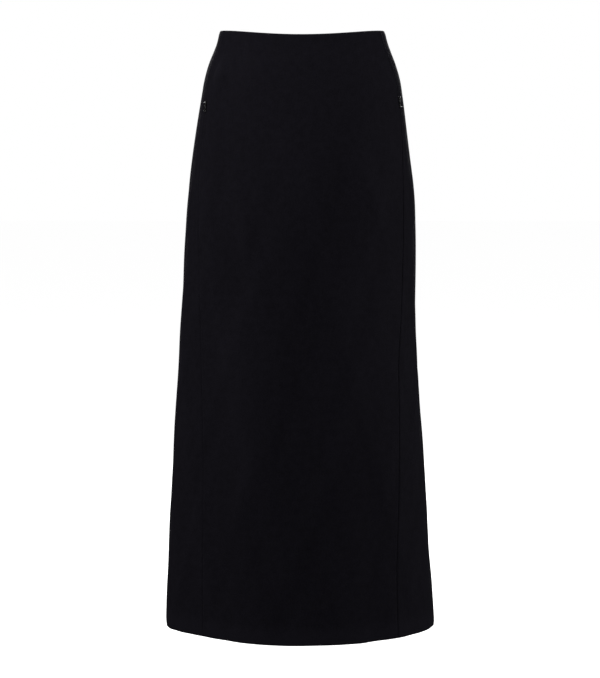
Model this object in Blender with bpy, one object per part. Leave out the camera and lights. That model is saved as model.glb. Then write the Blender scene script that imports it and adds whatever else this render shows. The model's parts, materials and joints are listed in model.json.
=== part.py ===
"""Long pencil skirt, filled out as when worn: five cloth panels and three invisible zips.

Metres, +Z up. The origin is the centre of the waist opening, the front faces -Y and +X is
the viewer's right. Heights are given as a depth below the waist. A place on the cloth is
that depth and a turn in degrees: 0 is the centre front, 90 the side at +X, 180 the back.
"""

import math
from typing import NamedTuple

import bmesh
import bpy
import numpy as np
from mathutils import Matrix, Vector

# ---- Cut of the skirt -------------------------------------------------------------------

LENGTH = 0.932  # side waist to the hem
FRONT_DIP = 0.0075  # the waist edge is this much lower at the centre front
BACK_DIP = 0.0065  # and this much lower at the centre back
DIP_FADES_BY = 0.150  # rows of cloth are level again at this depth
LEFT_DROP = 0.0030  # the hem hangs this much lower at the left side
RIGHT_DROP = 0.0012  # and this much lower at the right side
DROP_STARTS = 0.780  # rows of cloth are level down to this depth

CLOTH = 0.0015  # wall of one layer
WAIST_TURN_IN = 0.028  # doubled edge at the waist
HEM_TURN_UP = 0.038  # doubled edge at the hem
SEAM_GAP = 0.0003  # between two panels
ROW_SPACING = 0.036  # between rows of the wall, away from edges and zips
STEP = 0.0015  # height over which a doubled edge thins to one layer

# One row for each section. The half widths and half depths are of the outer surface, the
# seam columns give how far out a seam lies as a share of the half width on its side, and
# the flat columns how much each side of the front is flattened between centre and side.
SECTION_COLUMNS = (
    "below", "left", "right", "front", "back",
    "seam_left", "seam_right", "seam_back", "flat_left", "flat_right",
)
SECTIONS = (
    (0.000, 0.1250, 0.1285, 0.0920, 0.0900, 0.955, 0.925, 0.930, 0.00, 0.00),
    (0.010, 0.1271, 0.1310, 0.0925, 0.0905, 0.955, 0.926, 0.930, 0.00, 0.00),
    (0.020, 0.1296, 0.1338, 0.0935, 0.0920, 0.953, 0.927, 0.930, 0.00, 0.00),
    (0.030, 0.1335, 0.1375, 0.0950, 0.0940, 0.950, 0.928, 0.930, 0.00, 0.00),
    (0.050, 0.1418, 0.1453, 0.0985, 0.0990, 0.939, 0.931, 0.930, 0.00, 0.00),
    (0.075, 0.1489, 0.1527, 0.1020, 0.1060, 0.932, 0.940, 0.930, 0.00, 0.00),
    (0.100, 0.1534, 0.1568, 0.1050, 0.1120, 0.930, 0.948, 0.930, 0.01, 0.00),
    (0.150, 0.1619, 0.1633, 0.1100, 0.1210, 0.919, 0.938, 0.920, 0.01, 0.00),
    (0.200, 0.1694, 0.1698, 0.1140, 0.1270, 0.905, 0.912, 0.900, 0.02, 0.00),
    (0.250, 0.1750, 0.1758, 0.1170, 0.1295, 0.889, 0.887, 0.880, 0.02, 0.00),
    (0.300, 0.1788, 0.1781, 0.1195, 0.1300, 0.873, 0.879, 0.865, 0.03, 0.01),
    (0.400, 0.1846, 0.1786, 0.1240, 0.1300, 0.840, 0.864, 0.840, 0.05, 0.02),
    (0.500, 0.1916, 0.1811, 0.1280, 0.1310, 0.800, 0.830, 0.805, 0.07, 0.03),
    (0.600, 0.1983, 0.1907, 0.1310, 0.1325, 0.763, 0.790, 0.770, 0.09, 0.03),
    (0.700, 0.2044, 0.1986, 0.1340, 0.1345, 0.737, 0.759, 0.745, 0.11, 0.04),
    (0.800, 0.2096, 0.2032, 0.1370, 0.1370, 0.724, 0.730, 0.725, 0.13, 0.05),
    (0.900, 0.2142, 0.2105, 0.1405, 0.1395, 0.712, 0.710, 0.712, 0.14, 0.05),
    (0.932, 0.2152, 0.2124, 0.1415, 0.1400, 0.708, 0.708, 0.710, 0.14, 0.05),
)


class Fold(NamedTuple):
    """Large soft fold along a line from one turn and depth to another."""

    turn_top: float
    turn_end: float
    below_top: float
    below_end: float
    half_width: float
    height: float  # stands out by this, or sinks in if below 0


FOLDS = {
    "front_diagonal_trough": Fold(34, -16, 0.040, 0.760, 0.026, -0.0028),
    "front_ridge_right_of_it": Fold(26, 10, 0.300, 0.760, 0.034, 0.0024),
    "front_ridge_upper_middle": Fold(-8, -10, 0.120, 0.420, 0.022, 0.0018),
    "front_trough_left": Fold(-46, -40, 0.130, 0.520, 0.024, -0.0020),
    "front_ridge_left": Fold(-27, -24, 0.320, 0.860, 0.036, 0.0026),
    "left_hip_bulge": Fold(-57, -62, 0.022, 0.125, 0.016, 0.0030),
    "right_hip_bulge": Fold(60, 64, 0.030, 0.125, 0.015, 0.0016),
    "right_side_fold": Fold(86, 60, 0.430, 0.720, 0.014, 0.0032),
    "right_side_hollow": Fold(100, 80, 0.420, 0.900, 0.024, -0.0026),
    "right_low_fold": Fold(84, 68, 0.740, 0.925, 0.013, 0.0022),
    "left_side_hollow": Fold(-104, -98, 0.380, 0.860, 0.030, -0.0024),
    "back_right_fold": Fold(128, 118, 0.330, LENGTH, 0.030, 0.0034),
    "back_right_trough": Fold(152, 146, 0.400, LENGTH, 0.030, -0.0030),
    "back_left_fold": Fold(-126, -116, 0.300, LENGTH, 0.032, 0.0034),
    "back_left_trough": Fold(-154, -150, 0.360, LENGTH, 0.028, -0.0028),
    "back_hollow": Fold(178, 184, 0.260, 0.640, 0.034, -0.0026),
}

# ---- Zips -------------------------------------------------------------------------------

class Zip(NamedTuple):
    """Closed invisible zip behind a seam, with its slider at its top."""

    seam: str
    slider_below: float
    length: float


ZIPS = {
    "left": Zip("front_left", 0.1090, 0.160),
    "right": Zip("front_right", 0.1025, 0.160),
    "back": Zip("centre_back", 0.0190, 0.200),
}
TAPE_HALF_WIDTH = 0.011
TAPE_THICKNESS = 0.0008
TAPE_CLEARANCE = 0.0006  # between the cloth and the tape
TAPE_STARTS = 0.0066  # below the slider's middle
PARTING = 0.0021  # the seam's edges move this far aside for the slider's neck
PARTING_REACH = 0.011  # above and below the slider

# Slider, in its own frame: x across the seam, y up along it and z out of the cloth.
BODY_SIZE = (0.0064, 0.0080, 0.0024)  # behind the cloth
BODY_CLEARANCE = 0.0004
SLIDER_SEAT = 0.012  # length of cloth that the slider is levelled on
NECK_SIZE = (0.0026, 0.0070)  # through the seam
NECK_STANDS = 0.0007  # above the cloth
CROWN_SIZE = (0.0012, 0.0052)
CROWN_TOP = 0.0037
WINDOW_SIZE = (0.0024, 0.0036)  # right through the crown
WINDOW_TOP = 0.0030
BODY_ROUNDING = 0.0006
NECK_ROUNDING = 0.0003
CROWN_ROUNDING = 0.0002

# Pull tab: a teardrop plate whose eye goes round the crown. Its hinge axis is its origin.
PULL_AXIS_STANDS = 0.00185  # above the cloth
PULL_THICKNESS = 0.0014
PULL_EDGE = 0.0002  # rounded edge
PULL_EYE_RADIUS = 0.00185
PULL_EYE_CENTRE = 0.00115  # below the axis
PULL_BULB_RADIUS = 0.0026
PULL_BULB_CENTRE = 0.0124
SLOT_RADIUS = 0.00095
SLOT_TOP_CENTRE = 0.00155
SLOT_LOW_CENTRE = 0.00335
PULL_LEAN = 2.5  # degrees towards the cloth

# ---- Colours, linear --------------------------------------------------------------------

BLACK_CREPE = (0.0056, 0.0052, 0.0075)
BLACK_TAPE = (0.0060, 0.0060, 0.0070)
BLACK_LACQUER = (0.0080, 0.0080, 0.0090)


# ---- The cloth's surface ----------------------------------------------------------------

def smooth_curve(places, values, at):
    """Cubic curve through the values, whose slope at each place is that of its neighbours."""
    slopes = np.gradient(values, places)
    i = np.clip(np.searchsorted(places, at, side="right") - 1, 0, len(places) - 2)
    span = places[i + 1] - places[i]
    t = (at - places[i]) / span
    return (
        (2 * t**3 - 3 * t**2 + 1) * values[i]
        + (t**3 - 2 * t**2 + t) * span * slopes[i]
        + (3 * t**2 - 2 * t**3) * values[i + 1]
        + (t**3 - t**2) * span * slopes[i + 1]
    )


def section(column, below):
    """Value of one column of the section table at any depth below the waist."""
    table = np.array(SECTIONS)
    return smooth_curve(table[:, 0], table[:, SECTION_COLUMNS.index(column)], below)


def fold_height(below, turn):
    """Sum of the folds: each is a bell across its line, and fades in and out along it."""
    total = np.zeros(np.broadcast(below, turn).shape)
    radius = (section("left", below) + section("front", below)) / 2
    for fold in FOLDS.values():
        along = np.clip((below - fold.below_top) / (fold.below_end - fold.below_top), 0, 1)
        line = fold.turn_top + (fold.turn_end - fold.turn_top) * along
        aside = (turn - line + 180) % 360 - 180
        across = np.radians(aside) * radius / fold.half_width
        runs_out_at_hem = fold.below_end >= LENGTH
        fade = np.sin(np.pi * along * (0.5 if runs_out_at_hem else 1.0)) ** 2
        total = total + fold.height * fade * np.exp(-(across**2))
    return total


def smooth_surface(below, turn):
    """Half ellipses joined at the sides, flattened a little at the front's two quarters."""
    below, turn = np.broadcast_arrays(np.asarray(below, float), np.asarray(turn, float))
    sine, cosine = np.sin(np.radians(turn)), np.cos(np.radians(turn))
    half_width = np.where(sine > 0, section("right", below), section("left", below))
    half_depth = np.where(cosine > 0, section("front", below), section("back", below))
    flat = np.where(sine > 0, section("flat_right", below), section("flat_left", below))
    flat = flat * np.abs(sine) * (cosine > 0)
    x = half_width * sine
    y = -half_depth * (cosine - flat * np.sin(2 * np.radians(turn)) ** 2)
    dip = np.where(cosine > 0, FRONT_DIP, BACK_DIP) * np.abs(cosine) ** 3
    drop = np.where(sine > 0, RIGHT_DROP, LEFT_DROP) * np.abs(sine) ** 6
    z = -below - dip * np.clip(1 - below / DIP_FADES_BY, 0, 1) ** 2
    z = z - drop * np.clip((below - DROP_STARTS) / (LENGTH - DROP_STARTS), 0, 1) ** 2
    return np.stack([x, y, z], axis=-1)


def outward(below, turn):
    """Level unit vector out of the ring, square to the way round it."""
    ahead = smooth_surface(below, turn + 0.5)
    behind = smooth_surface(below, turn - 0.5)
    round_x, round_y = (ahead - behind)[..., 0], (ahead - behind)[..., 1]
    size = np.hypot(round_x, round_y)
    return np.stack([round_y / size, -round_x / size, np.zeros_like(size)], axis=-1)


def cloth(below, turn, inwards=0.0):
    """Points of the cloth's outer surface, folds included, moved inwards if asked."""
    stands = fold_height(below, turn) - inwards
    return smooth_surface(below, turn) + outward(below, turn) * stands[..., None]


def degrees_for(distance, below, turn):
    """Turn that covers a distance along the ring."""
    one_degree = smooth_surface(below, turn + 0.5) - smooth_surface(below, turn - 0.5)
    return distance / np.hypot(one_degree[..., 0], one_degree[..., 1])


def wall_thickness(below):
    """One layer, or two where the edge is turned in."""
    return np.interp(
        below,
        (WAIST_TURN_IN, WAIST_TURN_IN + STEP, LENGTH - HEM_TURN_UP - STEP, LENGTH - HEM_TURN_UP),
        (2 * CLOTH, CLOTH, CLOTH, 2 * CLOTH),
    )


# ---- Seams ------------------------------------------------------------------------------

def seam_turn(seam, below):
    """Turn of a seam's line at each depth."""
    if seam == "front_left":
        return -np.degrees(np.arcsin(section("seam_left", below)))
    if seam == "front_right":
        return np.degrees(np.arcsin(section("seam_right", below)))
    if seam == "back_right":
        return 180 - np.degrees(np.arcsin(section("seam_back", below)))
    if seam == "back_left":
        return np.degrees(np.arcsin(section("seam_back", below))) - 180
    return 180 + 0 * below


def seam_edge(seam, below, side):
    """Turn of a panel's edge at a seam: half the gap aside, and more round a slider."""
    middle = seam_turn(seam, below)
    aside = np.full(np.shape(below), SEAM_GAP / 2)
    for closing in ZIPS.values():
        if closing.seam == seam:
            reach = np.clip(1 - ((below - closing.slider_below) / PARTING_REACH) ** 2, 0, 1)
            aside = aside + PARTING * reach
    return middle + side * degrees_for(aside, below, middle)


def row_depths():
    """Depths of the wall's rows: at edges, doubled edges and sliders, and evenly between."""
    needed = [0, WAIST_TURN_IN, WAIST_TURN_IN + STEP]
    needed += [LENGTH - HEM_TURN_UP - STEP, LENGTH - HEM_TURN_UP, LENGTH]
    for closing in ZIPS.values():
        needed += [closing.slider_below + k * PARTING_REACH for k in (-1, 0, 1)]
    rows = [0]
    for row in sorted(needed)[1:]:
        if row - rows[-1] < STEP * 0.99:
            continue
        parts = max(1, round((row - rows[-1]) / ROW_SPACING))
        rows += list(np.linspace(rows[-1], row, parts + 1)[1:])
    return np.array(rows)


# ---- Cloth pieces -----------------------------------------------------------------------

def wall_mesh(name, outer, inner):
    """Closed wall between two grids of points with the same rows and columns."""
    rows, columns = outer.shape[:2]
    count = rows * columns
    number = np.arange(count).reshape(rows, columns)

    def quads(a, b, c, d):
        return np.stack([a.ravel(), b.ravel(), c.ravel(), d.ravel()], axis=-1)

    out = quads(number[:-1, :-1], number[1:, :-1], number[1:, 1:], number[:-1, 1:])
    rim = np.concatenate([number[0, ::-1], number[1:, 0], number[-1, 1:], number[-2:0:-1, -1]])
    after = np.roll(rim, -1)
    edge = quads(after, rim, rim + count, after + count)
    faces = np.concatenate([out, out[:, ::-1] + count, edge])
    points = np.concatenate([outer.reshape(-1, 3), inner.reshape(-1, 3)])
    mesh = bpy.data.meshes.new(name)
    mesh.from_pydata(points.tolist(), [], faces.tolist())
    mesh.shade_smooth()
    mesh.set_sharp_from_angle(angle=math.radians(40))
    return mesh


def panel(name, first_seam, last_seam, columns):
    """Cloth between two seams: a wall through the rows, doubled at waist and hem."""
    below = row_depths()[:, None]
    start = seam_edge(first_seam, below, 1)
    end = seam_edge(last_seam, below, -1)
    end = np.where(end < start, end + 360, end)
    turn = start + (end - start) * np.linspace(0, 1, columns + 1)[None, :]
    below = below + 0 * turn
    mesh = wall_mesh(name, cloth(below, turn), cloth(below, turn, wall_thickness(below)))
    place(name, mesh, Matrix.Identity(4), BLACK_CREPE, roughness=0.85)


def zip_tape(side):
    """Closed tape behind a seam, from under the slider to the zip's end."""
    closing = ZIPS[side]
    top = closing.slider_below + TAPE_STARTS
    low = closing.slider_below + closing.length
    inside = row_depths()
    inside = inside[(inside > top + STEP) & (inside < low - STEP)]
    below = np.concatenate([[top], inside, [low]])[:, None]
    middle = seam_turn(closing.seam, below)
    half = degrees_for(TAPE_HALF_WIDTH, below, middle)
    turn = middle + half * np.linspace(-1, 1, 5)[None, :]
    below = below + 0 * turn
    front = wall_thickness(below) + TAPE_CLEARANCE
    name = f"zip_tape_{side}"
    mesh = wall_mesh(name, cloth(below, turn, front), cloth(below, turn, front + TAPE_THICKNESS))
    place(name, mesh, Matrix.Identity(4), BLACK_TAPE, roughness=0.7)


# ---- Zip hardware -----------------------------------------------------------------------

def seam_point(seam, below):
    """Point of a seam's line on the outer surface."""
    return cloth(below, seam_turn(seam, np.array(below)))


def slider_frame(side):
    """Frame on the cloth at a slider: x across the seam, y up along it, z outwards."""
    closing = ZIPS[side]
    below = closing.slider_below
    high = seam_point(closing.seam, below - SLIDER_SEAT / 2)
    low = seam_point(closing.seam, below + SLIDER_SEAT / 2)
    turn = seam_turn(closing.seam, np.array(below))
    across = cloth(below, turn + 1) - cloth(below, turn - 1)
    up = Vector(high - low).normalized()
    out = Vector(across).cross(up).normalized()
    frame = Matrix((up.cross(out), up, out)).transposed().to_4x4()
    frame.translation = Vector((high + low) / 2)
    return frame


def block(name, low, high, bevel=0.0):
    """Box between two corners with rounded edges, as a mesh object."""
    mesh = bpy.data.meshes.new(name)
    shape = bmesh.new()
    bmesh.ops.create_cube(shape, size=1.0)
    low, high = Vector(low), Vector(high)
    box = Matrix.Translation((low + high) / 2) @ Matrix.Diagonal(high - low).to_4x4()
    bmesh.ops.transform(shape, matrix=box, verts=shape.verts)
    if bevel:
        edges = shape.edges[:]
        bmesh.ops.bevel(shape, geom=edges, offset=bevel, segments=2, profile=0.5, affect="EDGES")
    shape.to_mesh(mesh)
    shape.free()
    thing = bpy.data.objects.new(name, mesh)
    bpy.context.scene.collection.objects.link(thing)
    return thing


def combined_mesh(name, base, operations):
    """Mesh of a base block after Boolean operations, each (kind, other block)."""
    for kind, other in operations:
        step = base.modifiers.new(kind.lower(), "BOOLEAN")
        step.operation = kind
        step.object = other
    graph = bpy.context.evaluated_depsgraph_get()
    mesh = bpy.data.meshes.new_from_object(base.evaluated_get(graph))
    mesh.name = name
    for thing in [base] + [other for _, other in operations]:
        bpy.data.objects.remove(thing)
    mesh.shade_smooth()
    mesh.set_sharp_from_angle(angle=math.radians(30))
    return mesh


def centred_block(name, size, low, high, bevel=0.0):
    """Block centred across and along the seam, between two heights off the cloth."""
    half_x, half_y = size[0] / 2, size[1] / 2
    return block(name, (-half_x, -half_y, low), (half_x, half_y, high), bevel)


def slider_mesh(name, wall):
    """Body behind the cloth, a neck through the seam and a crown with a window."""
    front = -wall - BODY_CLEARANCE
    middle = front - BODY_SIZE[2] / 2
    body = centred_block("body", BODY_SIZE, front - BODY_SIZE[2], front, BODY_ROUNDING)
    neck = centred_block("neck", NECK_SIZE, middle, NECK_STANDS, NECK_ROUNDING)
    crown = centred_block("crown", CROWN_SIZE, NECK_STANDS / 2, CROWN_TOP, CROWN_ROUNDING)
    window = centred_block("window", WINDOW_SIZE, NECK_STANDS, WINDOW_TOP)
    return combined_mesh(name, body, [("UNION", neck), ("UNION", crown), ("DIFFERENCE", window)])


def teardrop_outline(steps=10):
    """Two round ends joined by tangents: a small eye at the top, a larger bulb below."""
    apart = PULL_BULB_CENTRE - PULL_EYE_CENTRE
    lean = math.asin((PULL_BULB_RADIUS - PULL_EYE_RADIUS) / apart)
    points = []
    for centre, radius, start, end in (
        (PULL_EYE_CENTRE, PULL_EYE_RADIUS, lean, math.pi - lean),
        (PULL_BULB_CENTRE, PULL_BULB_RADIUS, math.pi - lean, 2 * math.pi + lean),
    ):
        for angle in np.linspace(start, end, steps):
            points.append((radius * math.cos(angle), radius * math.sin(angle) - centre))
    return points


def slot_outline(steps=7):
    """Long hole with round ends, run the other way round."""
    points = []
    for centre, start in ((SLOT_TOP_CENTRE, math.pi), (SLOT_LOW_CENTRE, 0.0)):
        for angle in np.linspace(start, start - math.pi, steps):
            points.append((SLOT_RADIUS * math.cos(angle), SLOT_RADIUS * math.sin(angle) - centre))
    return points


def pull_mesh(name):
    """Flat outline with its slot, given its thickness and rounded edges."""
    curve = bpy.data.curves.new(name, "CURVE")
    curve.dimensions = "2D"
    curve.fill_mode = "BOTH"
    curve.bevel_depth = PULL_EDGE
    curve.bevel_resolution = 0
    curve.offset = -PULL_EDGE
    curve.extrude = PULL_THICKNESS / 2 - PULL_EDGE
    for outline in (teardrop_outline(), slot_outline()):
        spline = curve.splines.new("POLY")
        spline.points.add(len(outline) - 1)
        spline.points.foreach_set("co", [n for x, y in outline for n in (x, y, 0.0, 1.0)])
        spline.use_cyclic_u = True
    source = bpy.data.objects.new(name, curve)
    bpy.context.scene.collection.objects.link(source)
    graph = bpy.context.evaluated_depsgraph_get()
    mesh = bpy.data.meshes.new_from_object(source.evaluated_get(graph))
    bpy.data.objects.remove(source)
    shape = bmesh.new()
    shape.from_mesh(mesh)
    bmesh.ops.remove_doubles(shape, verts=shape.verts, dist=0.00001)
    bmesh.ops.recalc_face_normals(shape, faces=shape.faces)
    shape.to_mesh(mesh)
    shape.free()
    mesh.name = name
    mesh.shade_smooth()
    mesh.set_sharp_from_angle(angle=math.radians(30))
    return mesh


def zip_hardware(side):
    """Slider in its seam, and its pull tab on the hinge axis, hanging against the cloth."""
    frame = slider_frame(side)
    wall = float(wall_thickness(ZIPS[side].slider_below))
    slider = f"zip_slider_{side}"
    place(slider, slider_mesh(slider, wall), frame, BLACK_LACQUER, roughness=0.18, metallic=0.6)
    hinge = frame @ Matrix.Translation((0, 0, PULL_AXIS_STANDS))
    hung = hinge @ Matrix.Rotation(math.radians(PULL_LEAN), 4, "X")
    pull = f"zip_pull_{side}"
    place(pull, pull_mesh(pull), hung, BLACK_LACQUER, roughness=0.15, metallic=0.6)


# ---- Placing ----------------------------------------------------------------------------

def finish(name, colour, roughness, metallic):
    """Plain material in a piece's own colour."""
    material = bpy.data.materials.new(name)
    material.use_nodes = True
    shader = material.node_tree.nodes["Principled BSDF"]
    shader.inputs["Base Color"].default_value = (*colour, 1.0)
    shader.inputs["Roughness"].default_value = roughness
    shader.inputs["Metallic"].default_value = metallic
    return material


def place(name, mesh, matrix, colour, roughness, metallic=0.0):
    """Puts a named piece with its own material in the skirt's collection."""
    mesh.materials.clear()
    mesh.materials.append(finish(name, colour, roughness, metallic))
    piece = bpy.data.objects.new(name, mesh)
    piece.matrix_world = matrix
    bpy.data.collections["pencil_skirt"].objects.link(piece)


def main():
    for thing in list(bpy.data.objects):
        bpy.data.objects.remove(thing)
    skirt = bpy.data.collections.new("pencil_skirt")
    bpy.context.scene.collection.children.link(skirt)

    panel("front_panel", "front_left", "front_right", columns=24)
    panel("side_panel_right", "front_right", "back_right", columns=11)
    panel("side_panel_left", "back_left", "front_left", columns=11)
    panel("back_panel_right", "back_right", "centre_back", columns=11)
    panel("back_panel_left", "centre_back", "back_left", columns=11)
    for side in ZIPS:
        zip_tape(side)
        zip_hardware(side)


main()
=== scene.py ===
"""Looks of the long pencil skirt: fine cloth panels, seams, zips, floor, light and camera.

Metres, +Z up, origin at the centre of the waist opening, front towards -Y. A place on the
cloth is a depth below the waist and a turn in degrees: 0 is the centre front, 90 the side
at +X, 180 the centre back. Depth inwards is measured level, from the outer surface.
"""

import json
import math
from typing import NamedTuple

import bpy
import numpy as np
from mathutils import Matrix, Vector

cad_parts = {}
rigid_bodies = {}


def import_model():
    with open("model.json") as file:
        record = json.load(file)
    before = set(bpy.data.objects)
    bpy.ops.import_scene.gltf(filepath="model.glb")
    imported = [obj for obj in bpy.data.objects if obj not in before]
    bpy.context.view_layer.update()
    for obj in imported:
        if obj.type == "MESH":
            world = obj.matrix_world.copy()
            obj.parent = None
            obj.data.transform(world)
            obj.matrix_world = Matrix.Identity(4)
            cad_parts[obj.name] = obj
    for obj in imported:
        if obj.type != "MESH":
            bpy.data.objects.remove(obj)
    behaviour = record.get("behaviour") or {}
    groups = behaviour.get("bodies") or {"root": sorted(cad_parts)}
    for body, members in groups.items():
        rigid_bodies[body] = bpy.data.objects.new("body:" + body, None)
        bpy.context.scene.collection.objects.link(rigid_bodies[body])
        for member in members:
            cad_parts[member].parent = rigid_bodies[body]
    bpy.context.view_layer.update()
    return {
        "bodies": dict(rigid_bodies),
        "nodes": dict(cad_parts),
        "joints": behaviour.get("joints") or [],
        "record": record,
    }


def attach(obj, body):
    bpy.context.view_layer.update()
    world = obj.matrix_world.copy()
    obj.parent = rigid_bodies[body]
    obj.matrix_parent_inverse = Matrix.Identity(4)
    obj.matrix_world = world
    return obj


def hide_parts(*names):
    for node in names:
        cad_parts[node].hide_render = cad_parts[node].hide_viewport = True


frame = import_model()

# ---- Cut of the skirt -------------------------------------------------------------------

LENGTH = 0.932  # side waist to the hem
FRONT_DIP = 0.0075  # the waist edge is this much lower at the centre front
BACK_DIP = 0.0065  # and this much lower at the centre back
DIP_FADES_BY = 0.150
LEFT_DROP = 0.0030  # the hem hangs this much lower at the left side
RIGHT_DROP = 0.0012  # and this much lower at the right side
DROP_STARTS = 0.780

SHEET = 0.0009  # thickness of the crepe
TURN_RADIUS = 0.00105  # outer radius of the cloth where an edge is turned in
WAIST_TURN_IN = 0.028
HEM_TURN_UP = 0.038
WAIST_EASE = 0.0012  # the turned waist edge leans in by this at its top
WAIST_EASE_REACH = 0.0050
HEM_EASE = 0.0011  # and the hem leans in by this at its foot
HEM_EASE_REACH = 0.0120
PAINTED_HEM_LIGHT = 0.014  # painted highlight: the hem's foot is painted as light as cloth that stands out so far, in place of light from below
PAINTED_HEM_LIGHT_REACH = 0.0340


class Seam(NamedTuple):
    """A seam's line, and how it is pressed.

    Its turn is start plus way times the angle whose sine is its share of the half width.
    """

    share: str  # column of the section table
    start: float
    way: int
    roll: float  # radius over which the cloth rolls into it
    ridge: float  # height of the ridge that pressing leaves beside it


# The right front seam is pressed less flat and shows as the darkest line.
SEAMS = {
    "front_left": Seam("seam_left", 0, -1, 0.0008, 0.00028),
    "front_right": Seam("seam_right", 0, 1, 0.0017, 0.00035),
    "back_left": Seam("seam_back", -180, 1, 0.0010, 0.00015),
    "back_right": Seam("seam_back", 180, -1, 0.0010, 0.00015),
    "centre_back": Seam("seam_back", 180, 0, 0.0011, 0.00018),
}
BACK_ROLL = 0.35  # share of the roll that the sheet's back follows
RIDGE_FROM_SEAM = 0.0036
RIDGE_HALF_WIDTH = 0.0015
SEWN_TIGHT = 0.00012  # at the foot of their roll the sewn edges press into one another
ALLOWANCE = 0.015  # pressed open behind each seam
ALLOWANCE_FRONT = 0.00102  # depth of its face where it doesn't lift the cloth
ALLOWANCE_THICKNESS = 0.00075
ALLOWANCE_LIFTS = 0.00035  # the cloth that lies over it
LIFT_EDGE = 0.0025  # softness of that lift's edge
TURNED_OVER_SEAM = 0.0010  # a turned layer lies this much deeper over an allowance

# Distances in millimetres from an allowance's seam, and how much thinner each face is there.
ALLOWANCE_PROFILE = (
    (0.0, 0.26), (0.7, 0.08), (1.6, 0.0), (4.0, 0.0), (7.5, 0.0), (11.0, 0.0),
    (13.4, 0.02), (14.6, 0.10), (15.0, 0.30),
)

# One row for each section. The half widths and half depths are of the outer surface, the
# seam columns give how far out a seam lies as a share of the half width on its side, and
# the flat columns how much each side of the front is flattened between centre and side.
SECTION_COLUMNS = (
    "below", "left", "right", "front", "back",
    "seam_left", "seam_right", "seam_back", "flat_left", "flat_right",
)
SECTIONS = (
    (0.000, 0.1250, 0.1285, 0.0920, 0.0900, 0.955, 0.925, 0.930, 0.00, 0.00),
    (0.010, 0.1271, 0.1310, 0.0925, 0.0905, 0.955, 0.926, 0.930, 0.00, 0.00),
    (0.020, 0.1296, 0.1338, 0.0935, 0.0920, 0.953, 0.927, 0.930, 0.00, 0.00),
    (0.030, 0.1335, 0.1375, 0.0950, 0.0940, 0.950, 0.928, 0.930, 0.00, 0.00),
    (0.050, 0.1418, 0.1453, 0.0985, 0.0990, 0.939, 0.931, 0.930, 0.00, 0.00),
    (0.075, 0.1489, 0.1527, 0.1020, 0.1060, 0.932, 0.940, 0.930, 0.00, 0.00),
    (0.100, 0.1534, 0.1568, 0.1050, 0.1120, 0.930, 0.948, 0.930, 0.01, 0.00),
    (0.150, 0.1619, 0.1633, 0.1100, 0.1210, 0.919, 0.938, 0.920, 0.01, 0.00),
    (0.200, 0.1694, 0.1698, 0.1140, 0.1270, 0.905, 0.912, 0.900, 0.02, 0.00),
    (0.250, 0.1750, 0.1758, 0.1170, 0.1295, 0.889, 0.887, 0.880, 0.02, 0.00),
    (0.300, 0.1788, 0.1781, 0.1195, 0.1300, 0.873, 0.879, 0.865, 0.03, 0.01),
    (0.400, 0.1846, 0.1786, 0.1240, 0.1300, 0.840, 0.864, 0.840, 0.05, 0.02),
    (0.500, 0.1916, 0.1811, 0.1280, 0.1310, 0.800, 0.830, 0.805, 0.07, 0.03),
    (0.600, 0.1983, 0.1907, 0.1310, 0.1325, 0.763, 0.790, 0.770, 0.09, 0.03),
    (0.700, 0.2044, 0.1986, 0.1340, 0.1345, 0.737, 0.759, 0.745, 0.11, 0.04),
    (0.800, 0.2096, 0.2032, 0.1370, 0.1370, 0.724, 0.730, 0.725, 0.13, 0.05),
    (0.900, 0.2142, 0.2105, 0.1405, 0.1395, 0.712, 0.710, 0.712, 0.14, 0.05),
    (0.932, 0.2152, 0.2124, 0.1415, 0.1400, 0.708, 0.708, 0.710, 0.14, 0.05),
)


class Fold(NamedTuple):
    """Soft fold along a line from one turn and depth to another."""

    turn_top: float
    turn_end: float
    below_top: float
    below_end: float
    half_width: float
    height: float  # stands out by this, or sinks in if below 0


# The large folds, which the solids have too. Each row holds the fields of a Fold.
LARGE_FOLDS = {
    "front_diagonal_trough": (34, -16, 0.040, 0.760, 0.026, -0.0028),
    "front_ridge_right_of_it": (26, 10, 0.300, 0.760, 0.034, 0.0024),
    "front_ridge_upper_middle": (-8, -10, 0.120, 0.420, 0.022, 0.0018),
    "front_trough_left": (-46, -40, 0.130, 0.520, 0.024, -0.0020),
    "front_ridge_left": (-27, -24, 0.320, 0.860, 0.036, 0.0026),
    "left_hip_bulge": (-57, -62, 0.022, 0.125, 0.016, 0.0030),
    "right_hip_bulge": (60, 64, 0.030, 0.125, 0.015, 0.0016),
    "right_side_fold": (86, 60, 0.430, 0.720, 0.014, 0.0032),
    "right_side_hollow": (100, 80, 0.420, 0.900, 0.024, -0.0026),
    "right_low_fold": (84, 68, 0.740, 0.925, 0.013, 0.0022),
    "left_side_hollow": (-104, -98, 0.380, 0.860, 0.030, -0.0024),
    "back_right_fold": (128, 118, 0.330, LENGTH, 0.030, 0.0034),
    "back_right_trough": (152, 146, 0.400, LENGTH, 0.030, -0.0030),
    "back_left_fold": (-126, -116, 0.300, LENGTH, 0.032, 0.0034),
    "back_left_trough": (-154, -150, 0.360, LENGTH, 0.028, -0.0028),
    "back_hollow": (178, 184, 0.260, 0.640, 0.034, -0.0026),
}

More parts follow.
